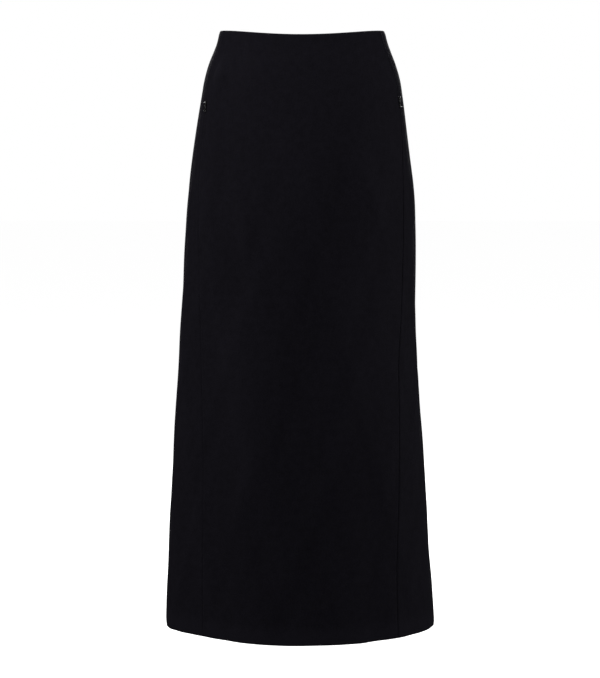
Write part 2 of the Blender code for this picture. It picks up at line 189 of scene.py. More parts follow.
# Finer creases, uneven in length, depth and spacing, on the shown and the hidden sides.
FINE_FOLDS = {
    "left_hip_buckle": (-54, -57, 0.030, 0.100, 0.0095, 0.0052),
    "left_hip_slope": (-69, -72, 0.022, 0.100, 0.0110, 0.0014),
    "left_hip_cloud": (-37, -31, 0.030, 0.115, 0.0160, 0.0014),
    "left_hip_trough": (-49, -42, 0.085, 0.300, 0.0130, -0.0020),
    "front_diagonal_upper": (34, 2, 0.040, 0.400, 0.0120, -0.0020),
    "front_diagonal_lower": (4, -15, 0.320, 0.800, 0.0130, -0.0012),
    "front_upper_streak": (-8, -8, 0.110, 0.290, 0.0120, 0.0016),
    "front_right_shoulder": (26, 42, 0.130, 0.310, 0.0200, 0.0022),
    "front_left_streak": (-29, -28, 0.245, 0.360, 0.0100, 0.0015),
    "front_left_hollow": (-35, -31, 0.290, 0.440, 0.0120, -0.0018),
    "front_left_swell": (-38, -21, 0.400, 0.600, 0.0210, 0.0022),
    "front_low_left_streak": (-20, -28, 0.560, 0.800, 0.0130, 0.0020),
    "front_middle_streak": (10, 9, 0.310, 0.510, 0.0130, 0.0017),
    "front_middle_hollow": (17, 16, 0.340, 0.540, 0.0090, -0.0010),
    "front_right_streak": (24, 25, 0.330, 0.480, 0.0110, 0.0015),
    "front_right_hollow": (37, 31, 0.420, LENGTH, 0.0200, -0.0022),
    "front_hem_hollow": (2, 6, 0.680, LENGTH, 0.0300, -0.0022),
    "front_hem_ripple_a": (-34, -35, 0.700, LENGTH, 0.0200, -0.0014),
    "front_hem_ripple_b": (25, 27, 0.780, LENGTH, 0.0110, 0.0012),
    "front_hem_ripple_c": (36, 37, 0.740, LENGTH, 0.0120, -0.0010),
    "right_side_crease": (84, 58, 0.468, 0.650, 0.0070, 0.0034),
    "right_side_crease_hollow": (94, 70, 0.478, 0.650, 0.0100, -0.0024),
    "right_low_crease": (78, 64, 0.785, 0.885, 0.0055, 0.0015),
    "right_low_crease_hollow": (88, 72, 0.790, 0.895, 0.0080, -0.0015),
    "left_zip_end": (-52, -60, 0.230, 0.330, 0.0100, 0.0008),
    "right_zip_drag": (46, 58, 0.070, 0.190, 0.0090, -0.0007),
    "right_zip_end": (56, 60, 0.225, 0.315, 0.0090, 0.0008),
    "left_side_crease": (-88, -74, 0.520, 0.780, 0.0070, 0.0009),
    "left_side_ripple": (-92, -94, 0.660, LENGTH, 0.0160, 0.0012),
    "back_seat_crease_a": (160, 146, 0.170, 0.330, 0.0100, 0.0014),
    "back_seat_crease_b": (-158, -140, 0.180, 0.320, 0.0090, 0.0012),
    "back_seat_hollow": (-168, -150, 0.230, 0.400, 0.0130, -0.0014),
    "back_soft_line_a": (166, 164, 0.420, 0.900, 0.0150, 0.0018),
    "back_soft_line_b": (-170, -168, 0.500, LENGTH, 0.0140, -0.0016),
    "back_soft_line_c": (-146, -140, 0.440, 0.760, 0.0160, 0.0018),
    "back_diagonal": (140, 160, 0.300, 0.620, 0.0170, -0.0020),
    "back_side_crease": (108, 114, 0.560, 0.800, 0.0070, 0.0010),
}
ALL_FOLDS = {**LARGE_FOLDS, **FINE_FOLDS}

# Waves round the ring, the drop of one wave down it, where it starts, and its height.
UNEVEN_WAVES = (
    (7, 0.330, 0.4, 0.0003),
    (12, 0.230, 1.9, 0.0003),
    (19, 0.170, 3.1, 0.0004),
    (31, 0.120, 4.6, 0.0003),
)
UNEVEN_FROM = 0.140
UNEVEN_FADE = 0.100
RIPPLE_PAINTED_SHADE = 2.0  # painted shade and highlight: the colour is lightened and darkened on these waves as if they stood out by so many times more


class Panel(NamedTuple):
    """Panel between two seams, with the size it is cut to, allowances and hems included."""

    first_seam: str
    last_seam: str
    width: float
    length: float
    area: float


PANELS = {
    "front_panel": Panel("front_left", "front_right", 0.378, 1.006, 0.360),
    "side_panel_right": Panel("front_right", "back_right", 0.271, 1.006, 0.190),
    "side_panel_left": Panel("back_left", "front_left", 0.264, 1.008, 0.190),
    "back_panel_right": Panel("back_right", "centre_back", 0.205, 1.005, 0.191),
    "back_panel_left": Panel("centre_back", "back_left", 0.205, 1.005, 0.194),
}

# ---- Zips -------------------------------------------------------------------------------


class Zip(NamedTuple):
    """Closed invisible zip behind a seam, with its slider at its top."""

    seam: str
    slider_below: float
    length: float


ZIPS = {
    "left": Zip("front_left", 0.1090, 0.160),
    "right": Zip("front_right", 0.1025, 0.160),
    "back": Zip("centre_back", 0.0190, 0.200),
}
ZIP_IN = {closing.seam: closing for closing in ZIPS.values()}
PARTING = 0.0011  # the seam's edges move this far aside for the slider's neck
PARTING_REACH = 0.0085
PULL_REACH = 0.017  # the cloth stays flat this far below a slider, under its pull tab

WALL = 0.0015  # of the solids, which set how deep a zip lies
WALL_STEP = 0.0015
TAPE_FRONT = 0.0006  # behind the wall
TAPE_HALF_WIDTH = 0.011
TAPE_THICKNESS = 0.0007
TAPE_ABOVE_SLIDER = 0.010
TAPE_BESIDE_SLIDER = 0.0040
TAPES_PART_OVER = 0.003
COIL_STARTS = 0.0058  # below the slider's middle
COIL_PITCH = 0.0011
COIL_HALF_WIDTH = 0.00085
COIL_ASIDE = 0.72  # of its half width, from the seam's line to the middle of each coil
COIL_HALF_DEPTH = 0.00055
COIL_WIRE = 0.00024

# Shares of a tape's width from its inner edge, and by how many millimetres each face is thinner.
TAPE_PROFILE = (
    (0.0, 0.25), (0.03, 0.08), (0.12, 0.0), (0.4, 0.0), (0.7, 0.0), (0.95, 0.02), (1.0, 0.2),
)

# Slider, in its own frame: x across the seam, y up along it and z out of the cloth.
BODY_HALF = (0.0032, 0.0040, 0.0012)
BODY_CLEARANCE = 0.0004
BODY_TAPER = 0.22  # narrower below than above
BODY_SQUARENESS = 0.62
SLIDER_SEAT = 0.012  # length of cloth that the slider is levelled on
NECK_HALF = (0.0009, 0.0035)
NECK_STANDS = 0.0007
NECK_EDGE = 0.0004  # its top is rounded over this height
NECK_NARROWS = 0.16  # there, by this share
NECK_SQUARENESS = 0.35
CROWN_HALF_WIDTH = 0.0006
CROWN_HALF_THICKNESS = 0.0004
CROWN_FOOT = 0.0004
CROWN_RISE = 0.0029  # of the middle of its bar above its foot
CROWN_REACH = 0.0022  # along the seam, to the middle of each leg
CROWN_ARCH_SQUARENESS = 0.42
CROWN_BAR_SQUARENESS = 0.6

# Pull tab: a teardrop plate whose eye goes round the crown. Its hinge axis is its origin.
PULL_AXIS_STANDS = 0.00185  # above the cloth
PULL_THICKNESS = 0.0014
PULL_EYE_RADIUS = 0.00185
PULL_EYE_CENTRE = 0.00115  # below the axis
PULL_BULB_RADIUS = 0.0026
PULL_BULB_CENTRE = 0.0124
SLOT_RADIUS = 0.00095
SLOT_TOP_CENTRE = 0.00155
SLOT_LOW_CENTRE = 0.00335
PULL_SQUARENESS = 0.6
PULL_LEAN = 2.5  # degrees towards the cloth

# ---- Sewing -----------------------------------------------------------------------------

ZIP_RIPPLE = 0.00030  # a zip's tape shrinks a little more than the cloth along it
ZIP_RIPPLE_PITCH = 0.019
PUCKER = 0.00009  # a seam's thread draws the cloth in unevenly
PUCKER_PITCHES = (0.013, 0.0217)
PUCKER_PHASE = 1.7  # from one seam to the next
RIPPLE_REACH = 0.012
OVERLOCK_PITCH = 0.0032
OVERLOCK_HALF_WIDTH = 0.0016
OVERLOCK_STANDS = 0.00012
OVERLOCK_THREAD = 0.00016
STITCH = 0.0028  # length of a stitch that holds a zip's tape
STITCH_FROM_COIL = 0.0052
STITCH_DEPTH = 0.00018
CATCH_STITCH = 0.009  # between the blind stitches that hold the hem
CATCH_SWAY = 0.0026  # up and down from the hem's raw edge
CATCH_ABOVE_EDGE = 0.0002
THREAD = 0.00014

# ---- Fineness of the meshes -------------------------------------------------------------

GRID = 0.0042  # between rows and columns of a panel
HALF_TURN_ROWS = 9  # on the half circle of a turned edge
COLUMNS_BY_SEAM = (0.0, 0.12, 0.3, 0.6, 1.0, 1.7, 2.3, 2.9, 3.6, 4.4, 5.6)  # millimetres from it
STRIP_ROW = 0.006  # between rows of an allowance or a tape


# ---- The cloth's surface ----------------------------------------------------------------

def smooth_curve(places, values, at):
    """Cubic curve through the values, whose slope at each place is that of its neighbours."""
    slopes = np.gradient(values, places)
    i = np.clip(np.searchsorted(places, at, side="right") - 1, 0, len(places) - 2)
    span = places[i + 1] - places[i]
    t = (at - places[i]) / span
    return (
        (2 * t**3 - 3 * t**2 + 1) * values[i]
        + (t**3 - 2 * t**2 + t) * span * slopes[i]
        + (3 * t**2 - 2 * t**3) * values[i + 1]
        + (t**3 - t**2) * span * slopes[i + 1]
    )


def smooth_step(value):
    """0 below 0, 1 above 1, and an even ease between."""
    t = np.clip(value, 0, 1)
    return t * t * (3 - 2 * t)


def section(column, below):
    """Value of one column of the section table at any depth below the waist."""
    table = np.array(SECTIONS)
    return smooth_curve(table[:, 0], table[:, SECTION_COLUMNS.index(column)], below)


def fold_height(below, turn, folds):
    """Sum of the folds: each is a bell across its line, and fades in and out along it."""
    total = np.zeros(np.broadcast(below, turn).shape)
    radius = (section("left", below) + section("front", below)) / 2
    for fold in map(Fold._make, folds.values()):
        along = np.clip((below - fold.below_top) / (fold.below_end - fold.below_top), 0, 1)
        line = fold.turn_top + (fold.turn_end - fold.turn_top) * along
        aside = (turn - line + 180) % 360 - 180
        across = np.radians(aside) * radius / fold.half_width
        runs_out_at_hem = fold.below_end >= LENGTH
        fade = np.sin(np.pi * along * (0.5 if runs_out_at_hem else 1.0)) ** 2
        total = total + fold.height * fade * np.exp(-(across**2))
    return total


def unevenness(below, turn):
    """Slow soft waves of worn cloth: products of sines down and round the skirt, out of step.

    Each has a whole number of waves round the ring. They start below the zips' sliders.
    """
    angle = np.radians(turn)
    total = 0.0
    for waves, drop, start, height in UNEVEN_WAVES:
        down = np.sin(2 * np.pi * below / drop + start + 2 * np.sin(angle))
        total = total + height * down * np.sin(waves * angle + 3 * start + 9 * below)
    return total * smooth_step((below - UNEVEN_FROM) / UNEVEN_FADE)


def smooth_surface(below, turn):
    """Half ellipses joined at the sides, flattened a little at the front's two quarters."""
    below, turn = np.broadcast_arrays(np.asarray(below, float), np.asarray(turn, float))
    sine, cosine = np.sin(np.radians(turn)), np.cos(np.radians(turn))
    half_width = np.where(sine > 0, section("right", below), section("left", below))
    half_depth = np.where(cosine > 0, section("front", below), section("back", below))
    flat = np.where(sine > 0, section("flat_right", below), section("flat_left", below))
    flat = flat * np.abs(sine) * (cosine > 0)
    x = half_width * sine
    y = -half_depth * (cosine - flat * np.sin(2 * np.radians(turn)) ** 2)
    dip = np.where(cosine > 0, FRONT_DIP, BACK_DIP) * np.abs(cosine) ** 3
    drop = np.where(sine > 0, RIGHT_DROP, LEFT_DROP) * np.abs(sine) ** 6
    z = -below - dip * np.clip(1 - below / DIP_FADES_BY, 0, 1) ** 2
    z = z - drop * np.clip((below - DROP_STARTS) / (LENGTH - DROP_STARTS), 0, 1) ** 2
    return np.stack([x, y, z], axis=-1)


def outward(below, turn):
    """Level unit vector out of the ring, square to the way round it."""
    ahead = smooth_surface(below, turn + 0.5)
    behind = smooth_surface(below, turn - 0.5)
    round_x, round_y = (ahead - behind)[..., 0], (ahead - behind)[..., 1]
    size = np.hypot(round_x, round_y)
    return np.stack([round_y / size, -round_x / size, np.zeros_like(size)], axis=-1)


def relief(below, turn):
    """How far the draped cloth stands out from its cut: all folds, and its unevenness."""
    return fold_height(below, turn, ALL_FOLDS) + unevenness(below, turn)


def cloth(below, turn, inwards=0.0, stands=relief):
    """Points of the cloth's outer surface with its relief, moved inwards if asked."""
    height = stands(below, turn) - inwards
    return smooth_surface(below, turn) + outward(below, turn) * height[..., None]


def degrees_for(distance, below, turn):
    """Turn that covers a distance along the ring."""
    one_degree = smooth_surface(below, turn + 0.5) - smooth_surface(below, turn - 0.5)
    return distance / np.hypot(one_degree[..., 0], one_degree[..., 1])


def seam_turn(seam, below):
    """Turn of a seam's line at each depth."""
    line = SEAMS[seam]
    return line.start + line.way * np.degrees(np.arcsin(section(line.share, below)))


def seam_parting(seam, below):
    """How far each edge stands aside from the seam's line: more round a slider."""
    aside = np.full(np.shape(below), -SEWN_TIGHT / 2)
    if seam in ZIP_IN:
        from_slider = (below - ZIP_IN[seam].slider_below) / PARTING_REACH
        aside = aside + PARTING * np.clip(1 - from_slider**2, 0, 1)
    return aside


def seam_edge(seam, below, side):
    """Turn of the cloth's edge on one side of a seam."""
    middle = seam_turn(seam, below)
    return middle + side * degrees_for(seam_parting(seam, below), below, middle)


def held_flat(seam, below):
    """1 on the stretch of a seam where a slider and its pull tab hold the cloth flat, else 0."""
    if seam not in ZIP_IN:
        return np.zeros(np.shape(below))
    middle = ZIP_IN[seam].slider_below + PULL_REACH / 4
    return np.exp(-(((below - middle) / PULL_REACH) ** 4))


def over_allowance(distance):
    """1 as far from a seam as its allowance reaches, 0 past that, and an ease between."""
    return smooth_step((ALLOWANCE + LIFT_EDGE - distance) / LIFT_EDGE)


def lift(seam, below, distance):
    """How far the allowance behind a seam lifts the cloth, at a distance from that seam."""
    return ALLOWANCE_LIFTS * over_allowance(distance) * (1 - held_flat(seam, below))


def seam_waves(seam, below, distance):
    """Pucker beside a seam, two sines out of step, and slow waves along a zip in it."""
    wave = np.zeros(np.shape(below))
    for pitch in PUCKER_PITCHES:
        phase = 2 * np.pi * below / pitch + PUCKER_PHASE * list(SEAMS).index(seam)
        wave = wave + PUCKER * np.sin(phase)
    if seam in ZIP_IN:
        from_slider = below - ZIP_IN[seam].slider_below
        along = np.clip(from_slider / ZIP_IN[seam].length, 0, 1)
        phase = 2 * np.pi * from_slider / ZIP_RIPPLE_PITCH
        wave = wave + ZIP_RIPPLE * np.sin(np.pi * along) * np.sin(phase)
    return wave * (1 - held_flat(seam, below)) * np.exp(-((distance / RIPPLE_REACH) ** 2))


def over_any_allowance(below, turn):
    """1 where an allowance lies behind the cloth and 0 elsewhere, from the nearest seam."""
    nearest = np.full(np.broadcast(below, turn).shape, np.inf)
    one_metre = degrees_for(1.0, below, turn)
    for seam in SEAMS:
        aside = np.abs((turn - seam_turn(seam, below) + 180) % 360 - 180)
        nearest = np.minimum(nearest, aside / one_metre)
    return over_allowance(nearest)


def edge_ease(below):
    """How far the waist edge and the hem's foot lean in: a parabola over their last stretch."""
    waist = WAIST_EASE * np.clip(1 - below / WAIST_EASE_REACH, 0, 1) ** 2
    return waist + HEM_EASE * np.clip(1 - (LENGTH - below) / HEM_EASE_REACH, 0, 1) ** 2


def tape_depth(below):
    """Depth of a zip tape's face: behind one layer of the solids, or two at the waist."""
    layers = np.interp(below, (WAIST_TURN_IN, WAIST_TURN_IN + WALL_STEP), (2, 1))
    return layers * WALL + TAPE_FRONT


# ---- Meshes -----------------------------------------------------------------------------

def in_scene(name, data):
    """New object in the scene."""
    thing = bpy.data.objects.new(name, data)
    bpy.context.scene.collection.objects.link(thing)
    return thing


def quads(a, b, c, d):
    """Faces from four arrays of point numbers of one shape."""
    return np.stack([a.ravel(), b.ravel(), c.ravel(), d.ravel()], axis=-1)


def mesh_object(name, points, faces, material, uv=None, painted_relief_shade=None, sharp=40):
    """Smooth-shaded object at the origin from arrays of faces.

    uv is the place of each point on the flat cloth in metres, the painted shade a value at each
    point that lightens or darkens the cloth's colour, and edges that bend by more than sharp
    degrees stay sharp.
    """
    corners = np.concatenate([array.ravel() for array in faces]).astype(np.int32)
    totals = np.concatenate([np.full(len(array), array.shape[1]) for array in faces])
    starts = np.concatenate([[0], np.cumsum(totals)[:-1]])
    mesh = bpy.data.meshes.new(name)
    mesh.vertices.add(len(points))
    mesh.vertices.foreach_set("co", np.asarray(points, np.float32).ravel())
    mesh.loops.add(len(corners))
    mesh.loops.foreach_set("vertex_index", corners)
    mesh.polygons.add(len(totals))
    mesh.polygons.foreach_set("loop_start", starts.astype(np.int32))
    mesh.polygons.foreach_set("loop_total", totals.astype(np.int32))
    mesh.update(calc_edges=True)
    if uv is not None:
        layer = mesh.uv_layers.new(name="cloth")
        layer.data.foreach_set("uv", uv[corners].astype(np.float32).ravel())
    if painted_relief_shade is not None:
        layer = mesh.attributes.new("painted_relief_shade", "FLOAT", "POINT")
        layer.data.foreach_set("value", painted_relief_shade.astype(np.float32))
    mesh.shade_smooth()
    mesh.set_sharp_from_angle(angle=math.radians(sharp))
    mesh.materials.append(material)
    return in_scene(name, mesh)


def shell(face, back):
    """Points and faces of a closed wall between two grids of the same rows and columns."""
    rows, columns = face.shape[:2]
    count = rows * columns
    number = np.arange(count).reshape(rows, columns)
    out = quads(number[:-1, :-1], number[1:, :-1], number[1:, 1:], number[:-1, 1:])
    rim = np.concatenate([number[0, ::-1], number[1:, 0], number[-1, 1:], number[-2:0:-1, -1]])
    after = np.roll(rim, -1)
    edge = quads(after, rim, rim + count, after + count)
    points = np.concatenate([face.reshape(-1, 3), back.reshape(-1, 3)])
    return points, [np.concatenate([out, out[:, ::-1] + count, edge])]


def flat_coordinates(grid):
    """Unrolled place of each point in metres: along its row from the middle, and down."""
    rows, columns = grid.shape[:2]
    steps = np.linalg.norm(np.diff(grid, axis=1), axis=2)
    along = np.concatenate([np.zeros((rows, 1)), np.cumsum(steps, axis=1)], axis=1)
    along = along - along[:, columns // 2][:, None]
    drops = np.linalg.norm(np.diff(grid[:, columns // 2], axis=0), axis=1)
    down = np.concatenate([[0], np.cumsum(drops)])
    return np.stack([along, np.broadcast_to(down[:, None], along.shape)], axis=-1).reshape(-1, 2)


def joined(parts):
    """Points and faces of several meshes as one, with the faces grouped by their corners."""
    points, by_corners, start = [], {}, 0
    for some_points, arrays in parts:
        points.append(some_points)
        for faces in arrays:
            by_corners.setdefault(faces.shape[1], []).append(faces + start)
        start += len(some_points)
    return np.concatenate(points), [np.concatenate(some) for some in by_corners.values()]


def rounded(angle, squareness):
    """Cosine and sine of an angle as on a superellipse: 1 is round, towards 0 is square."""
    cosine, sine = np.cos(angle), np.sin(angle)
    return (
        np.sign(cosine) * np.abs(cosine) ** squareness,
        np.sign(sine) * np.abs(sine) ** squareness,
    )


def tube(path, across, depth, sides, squareness=1.0):
    """Solid along a path: at each point a superellipse on two half axes, with capped ends."""
    cosine, sine = rounded(np.linspace(0, 2 * np.pi, sides, endpoint=False), squareness)
    ring = cosine[None, :, None] * across[:, None] + sine[None, :, None] * depth[:, None]
    points = np.concatenate([(path[:, None] + ring).reshape(-1, 3), path[[0, -1]]])
    number = np.arange(len(path) * sides).reshape(len(path), sides)
    ahead = np.roll(number, -1, axis=1)
    first, last = np.full(sides, number.size), np.full(sides, number.size + 1)
    caps = [(ahead[0], number[0], first), (number[-1], ahead[-1], last)]
    triangles = np.concatenate([np.stack(corners, axis=-1) for corners in caps])
    return points, [quads(number[:-1], ahead[:-1], ahead[1:], number[1:]), triangles]


def unit(vectors):
    """Vectors at length 1."""
    return vectors / np.linalg.norm(vectors, axis=-1, keepdims=True)


def thread(path, along, radius, sides=3):
    """Thin round tube on a path that winds about, or runs along, a field of directions."""
    ahead = unit(np.gradient(path, axis=0))
    across = unit(np.cross(ahead, np.broadcast_to(along, path.shape)))
    return tube(path, across * radius, np.cross(ahead, across) * radius, sides)


# ---- Materials --------------------------------------------------------------------------

def linear(code):
    """Linear colour from an sRGB hex code."""
    values = [int(code[i:i + 2], 16) / 255 for i in (1, 3, 5)]
    return [v / 12.92 if v <= 0.04045 else ((v + 0.055) / 1.055) ** 2.4 for v in values] + [1.0]


def add(tree, kind, links=None, **settings):
    """Adds a node: settings are its properties, or its sockets where the key starts with in_."""
    node = tree.nodes.new("ShaderNode" + kind)
    for key, value in settings.items():
        if key.startswith("in_"):
            node.inputs[key[3:].replace("_", " ")].default_value = value
        else:
            setattr(node, key, value)
    for socket, source in (links or {}).items():
        tree.links.new(source, node.inputs[socket])
    return node


def new_material(name):
    """Material with its Principled shader, ready for its nodes."""
    material = bpy.data.materials.new(name)
    material.use_nodes = True
    tree = material.node_tree
    return material, tree, tree.nodes["Principled BSDF"]


def set_shader(shader, **sockets):
    """Sets sockets of a shader to constants. In their names, _ stands for a space."""
    for name, value in sockets.items():
        shader.inputs[name.replace("_", " ")].default_value = value


def crepe_material():
    """Heavy wool crepe, piece-dyed near black: matt, finely pebbled, with a violet bloom.

    Overtwisted weft yarns give the pebble. On the real cloth it is about 1 mm across; here
    it is drawn 1.9 mm wide and flatter than it is wide, so that it shows at this distance.
    Surface fibres catch light at grazing angles and the dye takes a little unevenly. The colour
    also holds painted highlight and shade: where the cloth stands out it is painted lighter, and
    in its hollows darker, by a tenth for 3 mm.
    """
    pebble, flatness, yarn, dye_patch = 0.0019, 1.5, 0.0010, 0.0100
    dye_share, yarn_share, painted_light_from_relief = 0.24, 0.35, 13.0
    material, tree, shader = new_material("wool_crepe_near_black")
    place = add(tree, "UVMap", uv_map="cloth").outputs["UV"]
    lie = add(tree, "Mapping", {"Vector": place}, in_Scale=(1.0, flatness, 1.0))
    grain, fine, patch = (
        add(
            tree, "TexNoise", {"Vector": where}, in_Scale=1 / size, in_Detail=detail
        ).outputs["Fac"]
        for where, size, detail in (
            (lie.outputs["Vector"], pebble, 2.0), (place, yarn, 1.0), (place, dye_patch, 3.0),
        )
    )
    tone = add(tree, "Mix", {"A": grain, "B": patch}, in_Factor=dye_share)
    # Painted highlight and shade: the relief stored on the mesh lightens the colour where the
    # cloth stands out and darkens it in hollows.
    painted_relief_shade = add(tree, "Attribute", attribute_name="painted_relief_shade").outputs["Fac"]
    tone_and_painted_shade = add(
        tree, "Math", {0: painted_relief_shade, 2: tone.outputs["Result"]}, operation="MULTIPLY_ADD"
    )
    tone_and_painted_shade.inputs[1].default_value = painted_light_from_relief
    colour = add(tree, "ValToRGB", {"Fac": tone_and_painted_shade.outputs["Value"]})
    for element, position, code in zip(
        colour.color_ramp.elements, (0.38, 0.62), ("#0B0A0E", "#131217")
    ):
        element.position, element.color = position, linear(code)
    pebbles = add(tree, "Mix", {"A": grain, "B": fine}, in_Factor=yarn_share)
    bump = add(
        tree, "Bump", {"Height": pebbles.outputs["Result"]},
        in_Strength=0.75, in_Distance=0.0004,
    )
    tree.links.new(colour.outputs["Color"], shader.inputs["Base Color"])
    tree.links.new(bump.outputs["Normal"], shader.inputs["Normal"])
    set_shader(
        shader, Roughness=0.82, Specular_IOR_Level=0.02,
        Sheen_Weight=0.01, Sheen_Roughness=0.5, Sheen_Tint=linear("#C9BFE0"),
    )
    return material


def tape_material():
    """Woven polyester zip tape: black, a little smoother than the crepe, ribbed lengthways."""
    rib = 0.0012
    material, tree, shader = new_material("polyester_zip_tape")
    place = add(tree, "UVMap", uv_map="cloth").outputs["UV"]
    weave = add(
        tree, "TexWave", {"Vector": place},
        in_Scale=1 / (rib * 2 * math.pi), in_Distortion=0.3,
    )
    bump = add(
        tree, "Bump", {"Height": weave.outputs["Fac"]},
        in_Strength=0.5, in_Distance=0.0003,
    )
    tree.links.new(bump.outputs["Normal"], shader.inputs["Normal"])
    set_shader(shader, Base_Color=linear("#111114"), Roughness=0.62, Specular_IOR_Level=0.2)
    return material


def small_part_material(name, relief=None, dull_patches=None, **sockets):
    """Material of threads, coils or castings, whose grain is noise in the object's own space.

    relief is the grain's size in metres, its detail, and the bump's strength and distance.
    dull_patches is the size of patches of wear, their detail, and the least and most roughness.
    """
    material, tree, shader = new_material(name)
    place = add(tree, "TexCoord").outputs["Object"]
    if relief:
        size, detail, strength, distance = relief
        grain = add(
            tree, "TexNoise", {"Vector": place}, in_Scale=1 / size, in_Detail=detail
        )
        bump = add(
            tree, "Bump", {"Height": grain.outputs["Fac"]},
            in_Strength=strength, in_Distance=distance,
        )
        tree.links.new(bump.outputs["Normal"], shader.inputs["Normal"])
    if dull_patches:
        size, detail, least, most = dull_patches
        rub = add(
            tree, "TexNoise", {"Vector": place}, in_Scale=1 / size, in_Detail=detail
        )
        dull = add(
            tree, "MapRange", {"Value": rub.outputs["Fac"]},
            in_To_Min=least, in_To_Max=most,
        )
        tree.links.new(dull.outputs["Result"], shader.inputs["Roughness"])
    set_shader(shader, **sockets)
    return material


def thread_material():
    """Spun polyester sewing thread: black, with the soft gloss of twisted filaments."""
    return small_part_material(
        "polyester_thread", relief=(0.0004, 2.0, 0.4, 0.0001),
        Base_Color=linear("#151518"), Roughness=0.5, Specular_IOR_Level=0.3,
    )


def coil_material():
    """Extruded nylon monofilament, dyed black: smooth and slightly glossy, dulled in patches."""
    return small_part_material(
        "nylon_coil", dull_patches=(0.0012, 1.0, 0.26, 0.40), Base_Color=linear("#0E0E10")
    )


def lacquer_material():
    """Die-cast zinc under glossy black stove lacquer: deep black with sharp small highlights.

    The lacquer has a faint orange peel, and handling dulls it in patches.
    """
    return small_part_material(
        "black_lacquered_zinc",
        relief=(0.0006, 1.0, 0.08, 0.0001), dull_patches=(0.0024, 2.0, 0.10, 0.22),
        Base_Color=linear("#08080A"), Coat_Weight=0.8, Coat_Roughness=0.06,
    )


# ---- Cloth pieces -----------------------------------------------------------------------

def sheet_rows():
    """Rows of a panel over its turned edges, each as a depth below and a depth inwards.

    Up the turned-in layer, half a circle over the waist edge, down the outside, half a
    circle under the hem and up the turned-up layer. Given for the sheet's face, its back
    and the share that is turned: 0 outside, 1 on a turned layer, between on the circles.
    """
    half = np.linspace(0, np.pi, HALF_TURN_ROWS)
    outside = np.linspace(TURN_RADIUS, LENGTH - TURN_RADIUS, round(LENGTH / GRID))[1:-1]
    waist_layer = np.linspace(WAIST_TURN_IN, TURN_RADIUS, 8)[:-1]
    hem_layer = np.linspace(LENGTH - TURN_RADIUS, LENGTH - HEM_TURN_UP, 10)[1:]
    stretches = (
        (waist_layer, 0 * waist_layer, 0 * waist_layer + 1),
        (0 * half + TURN_RADIUS, -np.sin(half), np.cos(half)),
        (outside, 0 * outside, 0 * outside - 1),
        (0 * half + LENGTH - TURN_RADIUS, np.sin(half), -np.cos(half)),
        (hem_layer, 0 * hem_layer, 0 * hem_layer + 1),
    )
    below, sine, cosine = (np.concatenate(part) for part in zip(*stretches))
    face, back = (
        (below + radius * sine, TURN_RADIUS + radius * cosine)
        for radius in (TURN_RADIUS, TURN_RADIUS - SHEET)
    )
    return face, back, (1 + cosine) / 2


def panel_columns(first_seam, last_seam, below):
    """Turns of a panel's columns, close together at its seams, and each one's two distances."""
    near = np.array(COLUMNS_BY_SEAM) / 1000
    start, end = seam_edge(first_seam, below, 1), seam_edge(last_seam, below, -1)
    end = np.where(end < start, end + 360, end)
    first = start + degrees_for(near[None, :], below, start)
    last = end - degrees_for(near[None, ::-1], below, end)
    widest = float(np.max((end - start) / degrees_for(1.0, below, start)))
    between = np.linspace(0, 1, max(8, round(widest / GRID)) + 1)[None, 1:-1]
    middle = first[:, -1:] + (last[:, :1] - first[:, -1:]) * between
    turn = np.concatenate([first, middle, last], axis=1)
    one_metre = degrees_for(1.0, below + 0 * turn, turn)
    return turn, (turn - start) / one_metre, (end - turn) / one_metre


def panel_sheet(panel):
    """Face, back and painted shade of a panel: rolled into its seams, turned in at waist and hem.

    Face and back are points of the cloth moved inwards. The roll is a quarter circle at each
    seam, beside it runs a bell-shaped ridge, and the allowance behind lifts the cloth a little.
    """
    face_rows, back_rows, turned = sheet_rows()
    turned = turned[:, None]
    grids = []
    for (below, depth), roll_share in ((face_rows, 1.0), (back_rows, BACK_ROLL)):
        below, depth = below[:, None], depth[:, None]
        turn, *gaps = panel_columns(panel.first_seam, panel.last_seam, below)
        inwards = depth + edge_ease(below)
        for seam, gap in zip((panel.first_seam, panel.last_seam), gaps):
            radius = SEAMS[seam].roll
            short = np.clip(radius - gap, 0, radius)
            roll = radius - np.sqrt(radius**2 - short**2)
            inwards = inwards + roll_share * roll * (1 - 2 * turned)
            from_ridge = (gap - RIDGE_FROM_SEAM) / RIDGE_HALF_WIDTH
            ridge = SEAMS[seam].ridge * np.exp(-(from_ridge**2))
            inwards = inwards - ridge * (1 - turned) * (1 - held_flat(seam, below))
            inwards = inwards - lift(seam, below, gap) * (1 - turned)
            inwards = inwards + TURNED_OVER_SEAM * over_allowance(gap) * turned
            inwards = inwards - seam_waves(seam, below, gap)
        grids.append(cloth(below + 0 * turn, turn, inwards))
    # Painted light and shade for the colour: the relief, with its waves counted more, lighter
    # where the cloth stands out and darker in hollows.
    return grids, relief(below, turn) + RIPPLE_PAINTED_SHADE * unevenness(below, turn)


def strip(below, turn, front, thickness, thinner, side):
    """Face and back of a strip behind the cloth, on one side of a seam, thinner at its edges."""
    below = below + 0 * turn
    face = cloth(below, turn, front + thinner)
    back = cloth(below, turn, front + thickness - thinner)
    return (face, back) if side > 0 else (face[:, ::-1], back[:, ::-1])


def allowance_strip(seam, side):
    """Face and back of one allowance, pressed open: a strip behind the panel on that side."""
    top, low = 3 * TURN_RADIUS, LENGTH - 3 * TURN_RADIUS
    below = np.linspace(top, low, round((low - top) / STRIP_ROW))[:, None]
    across, thinner = np.array(ALLOWANCE_PROFILE).T[:, None, :] / 1000
    edge = seam_edge(seam, below, side)
    turn = edge + side * degrees_for(across, below, edge)
    front = ALLOWANCE_FRONT - lift(seam, below, across) + edge_ease(below)
    return strip(below, turn, front, ALLOWANCE_THICKNESS, thinner, side)


